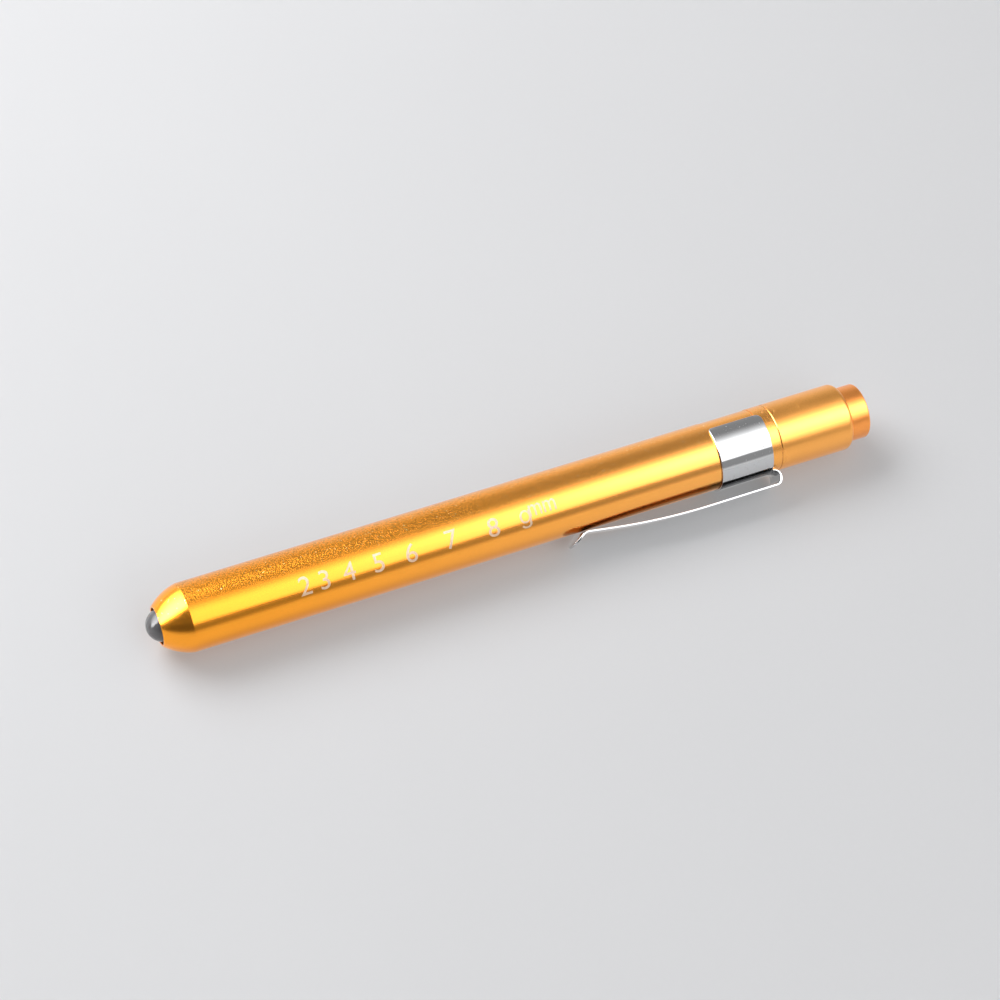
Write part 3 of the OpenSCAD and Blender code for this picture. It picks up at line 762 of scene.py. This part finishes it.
def spring(name, body, foot, top, foot_r, top_r, turns, wire, node):
    """A spring whose first and last three quarters of a turn lie flat."""
    per_turn, sides = 40, 12
    flat, bend, least = 0.75, 0.35, 0.12
    count = round(turns * per_turn)
    weights = []
    for i in range(count):
        t = (i + 0.5) / per_turn
        weights.append(least + min(1.0, max(0.0, min(t, turns - t) - flat + bend) / bend))
    climb = (top - foot - wire) / sum(weights)
    widen = (top_r - foot_r) / count
    section = [
        (foot + wire / 2 + wire / 2 * math.cos(a), foot_r + wire / 2 * math.sin(a))
        for a in (math.tau * k / sides for k in range(sides))
    ]
    bm = bmesh.new()
    wound(bm, section, [(math.tau / per_turn, w * climb, widen) for w in weights])
    return fitted(bm, name, body, "spring_steel", replaces=(node,), sharp=60)


def cut(bm, axis, place):
    """Cuts a bmesh through, across one axis."""
    normal = Vector((0, 0, 0))
    normal[axis] = 1
    bmesh.ops.bisect_plane(
        bm, geom=bm.verts[:] + bm.edges[:] + bm.faces[:], dist=1e-8,
        plane_co=normal * place, plane_no=normal,
    )


def cut_even(bm, axis, first, last, step):
    """Cuts a bmesh through at even places, from the first to the last."""
    count = max(1, round((last - first) / step))
    for i in range(count + 1):
        cut(bm, axis, first + (last - first) * i / count)


def thicken(bm, thickness):
    """Raises a flat sheet to a slab."""
    made = bmesh.ops.extrude_face_region(bm, geom=bm.faces[:], use_keep_orig=True)["geom"]
    top = [g for g in made if isinstance(g, bmesh.types.BMVert)]
    bmesh.ops.translate(bm, verts=top, vec=(0, 0, thickness))


# Angle round the pen, from straight up, that the print's own angles are counted from.
PRINT_ANGLE = math.radians(29.0)
# Height of a figure as a share of the type's size.
FIGURE_SHARE = 0.73


def wrapped(bm, r, at, phi):
    """Lays a flat print on the barrel: X along the pen, Y round it, Z off it, from angle phi."""
    for v in bm.verts:
        a = PRINT_ANGLE + phi - v.co.y / r
        radius = r + v.co.z
        v.co = Vector((station(at + v.co.x), -radius * math.sin(a), radius * math.cos(a)))


def printed(bm, thickness):
    """Gives a flat print its thickness, and half as much again below the surface."""
    bmesh.ops.translate(bm, verts=bm.verts[:], vec=(0, 0, -thickness / 2))
    thicken(bm, thickness * 1.5)


def flat_text(body, height):
    """The outline of a word, centred, as a flat mesh. It is made at 1 m for 1 mm, then scaled."""
    curve = bpy.data.curves.new("word", "FONT")
    curve.body = body
    curve.size = height / FIGURE_SHARE / MM
    curve.align_x = "CENTER"
    curve.align_y = "CENTER"
    curve.resolution_u = 6
    word = shown("word", curve)
    bpy.context.view_layer.update()
    depsgraph = bpy.context.evaluated_depsgraph_get()
    mesh = bpy.data.meshes.new_from_object(word.evaluated_get(depsgraph))
    bm = bmesh.new()
    bm.from_mesh(mesh)
    bpy.data.objects.remove(word)
    bpy.data.curves.remove(curve)
    bpy.data.meshes.remove(mesh)
    bmesh.ops.remove_doubles(bm, verts=bm.verts[:], dist=1e-4)
    bmesh.ops.scale(bm, verts=bm.verts[:], vec=(MM, MM, MM))
    return bm


def joined(target, source):
    """Adds one bmesh to another."""
    mesh = meshed(source, "joined")
    target.from_mesh(mesh)
    bpy.data.meshes.remove(mesh)


class Strip:
    """The line that the middle of the clip's sheet follows, out of straight runs and bends."""

    def __init__(self, sizes):
        turn = sizes.bow_turn
        back = turn + sizes.lip_turn
        self.runs = [
            (sizes.root_len, 0.0),
            (math.pi * sizes.bend_r, math.pi),
            (sizes.flat_len, 0.0),
            (sizes.bow_r * turn, turn),
            (sizes.run_len, 0.0),
            (sizes.touch_r * back, -back),
            (sizes.lip_len, 0.0),
        ]
        self.sizes = sizes
        self.length = sum(run for run, _ in self.runs)
        self.curl_ends = 2.2 * MM

    def at(self, v):
        """Station, height and heading at a length v past the band's tail edge."""
        place = Vector((self.sizes.band_end, self.sizes.band_mid_r))
        heading = 0.0
        if v <= 0:
            return place + Vector((v, 0)), heading
        for run, turn in self.runs:
            part = min(v, run)
            share = turn * part / run
            reach = part if abs(share) < 1e-9 else 2 * run / turn * math.sin(share / 2)
            middle = heading + share / 2
            place = place + Vector((math.cos(middle), math.sin(middle))) * reach
            heading += share
            v -= part
            if v <= 1e-12:
                break
        return place, heading

    def formed(self, flat):
        """Where a point of the flat blank comes to lie. X runs along it, Y across it, Z off it."""
        place, heading = self.at(flat.x)
        normal = -math.sin(heading), math.cos(heading)
        fade = min(1.0, max(0.0, flat.x / self.curl_ends))
        curl = (1 - fade * fade * (3 - 2 * fade)) / self.sizes.band_mid_r
        if curl < 1e-3:
            side, drop, tilt = flat.y, 0.0, 0.0
        else:
            tilt = flat.y * curl
            side = math.sin(tilt) / curl
            drop = (1 - math.cos(tilt)) / curl
        off = flat.z * math.cos(tilt) - drop
        side += flat.z * math.sin(tilt)
        s = place.x + normal[0] * off
        h = place.y + normal[1] * off
        return AXIS * station(s) + OUT * h + ACROSS * side


# Stage


def lay_floor(scene):
    """A plain floor, tilted so that the nose and the clip band rest on it."""
    radius = scene.penlight_tube.tube_r
    clear = 0.02 * MM
    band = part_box("clip_band")[0]
    nose_x = station(scene.penlight_tube.nose_len)
    slope = (band.z + radius) / (band.x + 5 * MM - nose_x)
    bm = bmesh.new()
    bmesh.ops.create_grid(bm, x_segments=8, y_segments=8, size=2.5)
    for v in bm.verts:
        v.co.z = slope * (v.co.x - nose_x) - radius - clear
    mesh = meshed(bm, "floor")
    mesh.materials.append(finish("floor"))
    floor = shown("floor", mesh)


def light_world(scene):
    """The soft studio round the pen.

    Alpha is the angle round the pen in degrees: 0 straight up, 90 toward the front, -90 toward
    the back. X is 1 along the pen toward the tail and -1 toward the nose.
    """
    light = scene.penlight_light
    world = bpy.data.worlds.new("studio")
    scene.world = world
    net = Net(world)
    way = net.add("ShaderNodeTexCoord", output="Generated")
    x, y, z = (net.split(way, axis) for axis in "XYZ")
    alpha = net.add("ShaderNodeMath", {"operation": "ARCTAN2"}, {0: -y, 1: z}) * (180 / math.pi)

    # The softbox overhead: soft toward the back, sharp in front, faded out at its two ends.
    softbox = net.ease(alpha + net.ease(x, 0.20, 0.42, -9.0, 9.0), -28.0, 18.0)
    softbox = softbox * net.ease(alpha, 60.0, 57.0) * net.ease(abs(x - 0.5), 0.50, 0.42)
    hot = net.ease(abs(alpha - 20.0), 34.0, 0.0) * net.ease(x, 0.24, 0.44)

    # Beyond the nose: a softbox low at the back, and shade over the rest.
    past_nose = net.ease(x, -0.02, -0.12)
    side = past_nose * net.ease(alpha, -75.0, -66.0) * net.ease(alpha, -70.0, -20.0, 0.25, 1.0)
    side = side * net.ease(alpha + 20.0 * (x + 0.19), 2.0, -10.0)
    shade = past_nose * net.ease(alpha, -10.0, 0.0) * net.ease(alpha, 84.0, 76.0) * 0.45

    # The room: pale low down in front and at the back, dark between, with a gap before the softbox.
    pale = net.ease(alpha, 80.0, 86.0) + net.ease(alpha + 60.0 * (x - 0.16), -34.0, -92.0)
    front = net.ease(alpha, 46.0, 58.0)
    gap = light.gap * net.ease(x, 0.05, 0.42, 0.75, 1.45)
    level = light.dark + (gap - light.dark) * front + (light.surround - light.dark) * pale
    level = level * (1 - shade) + softbox * light.softbox

    # Matt surfaces get an even share of it, mirrors all of it.
    mirrored = net.mirrored("Is Glossy Ray", "Is Transmission Ray")
    level = level * (light.spread + (1 - light.spread) * mirrored)
    level = level + (light.hot * hot * softbox + light.side * side) * mirrored
    backdrop = (*scene.penlight_colours.backdrop, 1.0)
    seen = net.add("ShaderNodeBackground", None, {"Color": backdrop, "Strength": 1.0})
    lit = net.add("ShaderNodeBackground", None, {"Color": (1.0, 1.0, 1.0, 1.0), "Strength": level})
    mixed = net.add("ShaderNodeMixShader", None, {0: net.ray("Is Camera Ray"), 1: lit, 2: seen})
    net.add("ShaderNodeOutputWorld", None, {"Surface": mixed})


def hang_lamps(scene):
    """The soft lamp behind the pen and the weak one in front of it, neither of them mirrored."""
    light = scene.penlight_light
    target = Vector((0.02, 0, 0))
    for name, power, place in (
        ("key_lamp", light.key, Vector((-0.22, 0.38, 0.42))),
        ("fill_lamp", light.fill, Vector((0.15, -0.50, 0.28))),
    ):
        lamp = bpy.data.lights.new(name, "AREA")
        lamp.shape = "RECTANGLE"
        lamp.size, lamp.size_y = 0.5, 0.35
        lamp.energy = power
        holder = shown(name, lamp)
        holder.location = place
        holder.rotation_euler = (target - place).to_track_quat("-Z", "Y").to_euler()
        holder.visible_glossy = False
        holder.visible_camera = False


def set_camera(scene):
    """The camera, where the photograph was taken from."""
    light = scene.penlight_light
    camera = bpy.data.cameras.new("camera")
    camera.lens = light.camera_lens
    camera.sensor_width = 36.0
    camera.sensor_fit = "HORIZONTAL"
    camera.clip_start, camera.clip_end = 0.01, 20.0
    right, up = Vector(light.camera_right), Vector(light.camera_up)
    turn = Matrix((right, up, right.cross(up))).transposed().to_4x4()
    scene.camera = shown("camera", camera)
    scene.camera.matrix_world = Matrix.Translation(light.camera_at) @ turn


# Operators


class PENLIGHT_OT_stage(bpy.types.Operator):
    """Make the floor, the light and the camera"""

    bl_idname = "penlight.stage"
    bl_label = "Stage"

    def execute(self, context):
        scene = context.scene
        scene.view_settings.view_transform = "Standard"
        lay_floor(scene)
        light_world(scene)
        hang_lamps(scene)
        set_camera(scene)
        return {"FINISHED"}


class PENLIGHT_OT_barrel(bpy.types.Operator):
    """Turn the barrel, with its curved nose, band seat and bore"""

    bl_idname = "penlight.barrel"
    bl_label = "Barrel"

    def execute(self, context):
        z = context.scene.penlight_tube
        e = z.edge
        nose = bulge((0, z.rim_r), (z.nose_len, z.tube_r), z.nose_bulge, 28)
        seam = z.seam_at - z.seam_gap
        outline = [(0, z.hole_r, e), (0, z.rim_r, e)]
        # The nose's first and last points make room for the rounded edges of rim and shoulder.
        outline += [(s, r, 0) for s, r in nose[2:-2]]
        outline += [
            (z.nose_len, z.tube_r, 0.8 * e),
            (z.seat_from, z.tube_r, 0.3 * e),
            (z.seat_from, z.seat_r, 0),
            (z.seat_to, z.seat_r, 0),
            (z.seat_to, z.tube_r, 0.3 * e),
            (seam - z.seam_break, z.tube_r, 0.5 * e),
            (seam, z.tube_r - z.seam_break / 2, 0),
            (seam, z.bore_r, e),
            (z.bore_from, z.bore_r, 0),
            (z.bore_from, z.board_room_r, e),
            (z.board_at, z.board_room_r, 0),
            (z.board_at, z.flange_room_r, e),
            (z.nose_wall, z.flange_room_r, 0),
            (z.nose_wall, z.hole_r, e),
        ]
        bm = turned(outline, z.steps)
        fitted(bm, "turned_barrel", "pen", "gold_anodised", replaces=("barrel",))
        return {"FINISHED"}


class PENLIGHT_OT_tail_cap(bpy.types.Operator):
    """Turn the tail cap and wind the thread on its neck"""

    bl_idname = "penlight.tail_cap"
    bl_label = "Tail cap"

    def execute(self, context):
        z, t = context.scene.penlight_tube, context.scene.penlight_tail
        e = z.edge
        edge = bulge((t.edge_from, z.tube_r), (t.end_at, t.face_r), t.edge_bulge, 14)
        collar = t.groove_from - 0.25 * MM
        outline = [
            (t.neck_from, t.switch_room_r, 2 * e),
            (t.neck_from, t.thread_root_r, 3 * e),
            (collar, t.thread_root_r, e),
            (collar, t.neck_r, e),
            (t.groove_from, t.neck_r, e),
            (t.groove_from, t.groove_r, e),
            (t.groove_to, t.groove_r, e),
            (t.groove_to, t.neck_r, e),
            (z.seam_at, t.neck_r, 0),
            (z.seam_at, z.tube_r - z.seam_break / 2, 0),
            (z.seam_at + z.seam_break, z.tube_r, 0.5 * e),
            (t.edge_from, z.tube_r, 0),
        ]
        outline += [(s, r, 0) for s, r in edge[1:-1]]
        outline += [
            (t.end_at, t.face_r, 0.6 * e),
            (t.end_at, t.well_r, 0.8 * e),
            (t.well_at, t.well_r, e),
            (t.well_at, t.stem_room_r, e),
            (t.web_at, t.stem_room_r, e),
            (t.web_at, t.switch_room_r, e),
        ]
        bm = turned(outline, z.steps)
        # The ridge starts sunk in the neck, rises out of it over a quarter turn and sinks again.
        per_turn, rising = 64, 16
        half_root, half_crest = 0.36 * MM, 0.07 * MM
        count = round((t.thread_to - t.thread_from) / t.thread_lead * per_turn)
        ridge_h = t.thread_crest_r - t.thread_root_r
        dip = 1.3 * ridge_h
        foot, crest = t.thread_root_r - dip - 0.05 * MM, t.thread_root_r - dip + ridge_h
        section = [
            (t.thread_from - half_root, foot),
            (t.thread_from - half_crest, crest),
            (t.thread_from + half_crest, crest),
            (t.thread_from + half_root, foot),
        ]
        moves = []
        for i in range(count):
            widen = dip / rising if i < rising else -dip / rising if i >= count - rising else 0.0
            moves.append((math.tau / per_turn, t.thread_lead / per_turn, widen))
        thread = bmesh.new()
        wound(thread, section, moves)
        joined(bm, thread)
        fitted(bm, "turned_tail_cap", "tail", "gold_anodised", replaces=("tail_cap",))
        return {"FINISHED"}


class PENLIGHT_OT_button(bpy.types.Operator):
    """Turn the push button"""

    bl_idname = "penlight.button"
    bl_label = "Push button"

    def execute(self, context):
        z, t = context.scene.penlight_tube, context.scene.penlight_tail
        e = z.edge
        face_in = t.button_to - t.button_face_t
        boss_end = face_in - t.boss_len
        edge = bulge(
            (t.button_to - t.button_edge, t.button_r), (t.button_to, t.button_r - t.button_edge),
            t.button_edge_bulge, 10,
        )
        outline = [
            (boss_end + t.stem_depth, 0, 0),
            (boss_end + t.stem_depth, t.stem_r, 0),
            (boss_end, t.stem_r, e),
            (boss_end, t.boss_r, e),
            (face_in, t.boss_r, e),
            (face_in, t.button_in_r, e),
            (t.button_from, t.button_in_r, e),
            (t.button_from, t.button_r, e),
        ]
        outline += [(s, r, 0) for s, r in edge]
        outline += [(t.button_to, 2.5 * MM, 0), (t.button_to, 0, 0)]
        bm = turned(outline, z.steps, closed=False)
        fitted(bm, "push_button", "press", "button_gold",
               replaces=("button",))
        return {"FINISHED"}


class PENLIGHT_OT_lens(bpy.types.Operator):
    """Turn the clear lens"""

    bl_idname = "penlight.lens"
    bl_label = "Lens"

    def execute(self, context):
        g = context.scene.penlight_lens
        steps, round_steps = 40, 128
        e = 0.1 * MM
        outline = [
            (g.dome_centre - g.dome_r * math.cos(a), g.dome_r * math.sin(a), 0)
            for a in (math.pi / 2 * i / steps for i in range(steps + 1))
        ]
        outline += [
            (g.flange_from, g.dome_r, 0.5 * e),
            (g.flange_from, g.flange_r, e),
            (g.back_at, g.flange_r, e),
            (g.back_at, g.hollow_r, e),
            (g.hollow_at, g.hollow_r, e),
            (g.hollow_at, 0, 0),
        ]
        bm = turned(outline, round_steps, closed=False)
        fitted(bm, "lens_bead", "pen", "lens_plastic", replaces=("lens",))
        return {"FINISHED"}


class PENLIGHT_OT_pocket_clip(bpy.types.Operator):
    """Cut the clip's flat blank and form it into band, bend, arm and lip"""

    bl_idname = "penlight.pocket_clip"
    bl_label = "Pocket clip"

    def execute(self, context):
        c = context.scene.penlight_clip
        strip = Strip(c)
        band = c.band_wrap / 2 * c.band_mid_r
        arm = c.arm_w / 2
        bm = self.blank(c, strip.length, band, arm)

        # Cuts across the strip where it bends, then along it where the band curls.
        bend_end = c.root_len + math.pi * c.bend_r
        bow_from = bend_end + c.flat_len
        bow_to = bow_from + c.bow_r * c.bow_turn
        inset = 1.5 * MM
        for first, last, step in (
            (inset - c.band_len, -inset, 1.8),
            (0.0, bend_end, 0.17),
            (bend_end + 1.0 * MM, bow_from, 2.0),
            (bow_from, bow_to, 0.9),
            (bow_to + c.run_len, strip.length - c.lip_len, 0.1),
        ):
            cut_even(bm, 0, first, last, step * MM)
        cut_even(bm, 1, 0.2 * MM - band, band - 0.2 * MM, 0.36 * MM)
        # Cuts close to the rounded edges keep the shading of the flats even.
        close = c.edge + 0.05 * MM
        for axis, places in (
            (0, (close - c.band_len, -close, strip.length - close)),
            (1, (close - band, close - arm, arm - close, band - close)),
        ):
            for place in places:
                cut(bm, axis, place)
        for v in bm.verts:
            v.co = strip.formed(v.co)
        clip = fitted(bm, "pocket_clip", None, "clip_steel",
                      replaces=("clip_band", "clip_arm"), sharp=50)

        # A line across the start of the bend, leaning out from the pen, where the arm would hinge;
        # it is worked out but not used.
        lean = OUT - 0.12 * AXIS
        start = AXIS * station(116.0 * MM) + OUT * (7.95 * MM)
        end = start + lean * (0.45 * MM / lean.length_squared)
        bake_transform(clip)
        return {"FINISHED"}

    @staticmethod
    def blank(c, long, band, arm):
        """The flat sheet with rounded corners, tip and edges. X is 0 at the band's tail edge."""
        tip_steps, root = 12, 0.25 * MM
        reach = math.asin(arm / c.tip_r)
        tip = [
            (long - c.tip_r + c.tip_r * math.cos(a), c.tip_r * math.sin(a))
            for a in (reach - 2 * reach * i / tip_steps for i in range(tip_steps + 1))
        ]
        outline = [(-c.band_len, -band), (-c.band_len, band), (0, band), (0, arm)]
        outline += [*tip, (0, -arm), (0, -band)]
        bm = bmesh.new()
        verts = [bm.verts.new((x, y, -c.sheet / 2)) for x, y in outline]
        bm.faces.new(verts)
        for pair, radius in (
            ((verts[0], verts[1]), c.nose_corner),
            ((verts[2], verts[-1]), c.tail_corner),
            ((verts[3], verts[-2]), root),
        ):
            bmesh.ops.bevel(
                bm, geom=pair, offset=radius, offset_type="OFFSET", segments=6, profile=0.5,
                affect="VERTICES", material=-1, clamp_overlap=True,
            )
        thicken(bm, c.sheet)
        rims = [e for e in bm.edges if abs(e.verts[0].co.z - e.verts[1].co.z) < 1e-9]
        bmesh.ops.bevel(
            bm, geom=rims, offset=c.edge, offset_type="OFFSET", segments=3, profile=0.5,
            affect="EDGES", material=-1, clamp_overlap=True,
        )
        return bm


class PENLIGHT_OT_gauge(bpy.types.Operator):
    """Print the gauge figures and the gauge dots on the barrel"""

    bl_idname = "penlight.gauge"
    bl_label = "Pupil gauge"

    # Rows of character, station and angle. The last one is a 9 with a hooked tail, which the
    # type has as another character.
    FIGURES = (
        ("2", 25.74, 9.8), ("3", 29.4, 9.5), ("4", 34.0, 8.6), ("5", 39.5, 8.8),
        ("6", 45.6, 9.6), ("7", 53.2, 7.4), ("8", 61.3, 9.5), ("\u0261", 67.5, 5.3),
    )
    UNIT = ("mm", 70.95, -3.7)
    LAST_DOT = 69.9

    def execute(self, context):
        p = context.scene.penlight_print
        r = context.scene.penlight_tube.tube_r
        words = [(*row, p.height) for row in self.FIGURES[:-1]]
        words += [(*self.FIGURES[-1], p.last_height), (*self.UNIT, p.small_height)]
        target = bmesh.new()
        for body, at, phi, height in words:
            bm = flat_text(body, height)
            if body == self.UNIT[0]:
                bmesh.ops.scale(bm, vec=(p.small_width, 1, 1), verts=bm.verts)
            cut_even(bm, 1, -0.7 * height, 0.7 * height, 0.25 * MM)
            printed(bm, p.ink)
            wrapped(bm, r, at * MM, math.radians(phi))
            joined(target, bm)
        fitted(target, "gauge_figures", "pen", "print", sharp=60)
        target = bmesh.new()
        places = [at for _, at, _ in self.FIGURES[:-1]] + [self.LAST_DOT]
        for width, at in enumerate(places, 2):
            half = width / 2 * MM
            bm = bmesh.new()
            bmesh.ops.create_circle(bm, cap_ends=True, segments=64, radius=half)
            cut_even(bm, 1, -half, half, 0.3 * MM)
            printed(bm, p.ink)
            wrapped(bm, r, at * MM, p.dots_far + half / r)
            joined(target, bm)
        fitted(target, "gauge_dots", "pen", "print", sharp=60)
        return {"FINISHED"}


class PENLIGHT_OT_springs(bpy.types.Operator):
    """Wind the battery spring and the return spring"""

    bl_idname = "penlight.springs"
    bl_label = "Springs"

    def execute(self, context):
        w = context.scene.penlight_springs
        spring("wound_battery_spring", "tail_slide", w.battery_from, w.battery_to,
               w.battery_small_r, w.battery_big_r, w.battery_turns, w.battery_wire,
               "battery_spring")
        coil = spring("wound_return_spring", "tail", w.return_from, w.return_to,
                      w.return_r, w.return_r, w.return_turns, w.return_wire, "return_spring")
        foot = (station(w.return_from), 0, 0)
        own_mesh(coil)
        return {"FINISHED"}


class PENLIGHT_OT_inner_pieces(bpy.types.Operator):
    """Give the carried-over inner pieces their finishes"""

    bl_idname = "penlight.inner_pieces"
    bl_label = "Inner pieces"

    def execute(self, context):
        for material, names in KEPT_NODES.items():
            for name in names:
                mesh = frame["nodes"][name].data
                mesh.materials.clear()
                mesh.materials.append(finish(material))
        return {"FINISHED"}


class PENLIGHT_PT_panel(bpy.types.Panel):
    """Lists the penlight's pieces"""

    bl_idname = "PENLIGHT_PT_panel"
    bl_label = "Penlight"
    bl_space_type = "VIEW_3D"
    bl_region_type = "UI"
    bl_category = "Penlight"

    def draw(self, context):
        for step in STEPS:
            self.layout.operator(step.bl_idname)


GROUPS = {
    "penlight_tube": PenlightTubeSizes,
    "penlight_tail": PenlightTailSizes,
    "penlight_lens": PenlightLensSizes,
    "penlight_clip": PenlightClipSizes,
    "penlight_print": PenlightPrintSizes,
    "penlight_springs": PenlightSpringSizes,
    "penlight_colours": PenlightColours,
    "penlight_light": PenlightLight,
}
STEPS = (
    PENLIGHT_OT_stage,
    PENLIGHT_OT_barrel,
    PENLIGHT_OT_tail_cap,
    PENLIGHT_OT_button,
    PENLIGHT_OT_lens,
    PENLIGHT_OT_pocket_clip,
    PENLIGHT_OT_gauge,
    PENLIGHT_OT_springs,
    PENLIGHT_OT_inner_pieces,
)


def register():
    for name, group in GROUPS.items():
        bpy.utils.register_class(group)
        setattr(bpy.types.Scene, name, bpy.props.PointerProperty(type=group))
    for step in STEPS:
        bpy.utils.register_class(step)
    bpy.utils.register_class(PENLIGHT_PT_panel)


def unregister():
    bpy.utils.unregister_class(PENLIGHT_PT_panel)
    for step in reversed(STEPS):
        bpy.utils.unregister_class(step)
    for name, group in reversed(GROUPS.items()):
        delattr(bpy.types.Scene, name)
        bpy.utils.unregister_class(group)


def main():
    register()
    for step in STEPS:
        module, name = step.bl_idname.split(".")
        getattr(getattr(bpy.ops, module), name)()


if __name__ == "__main__":
    main()
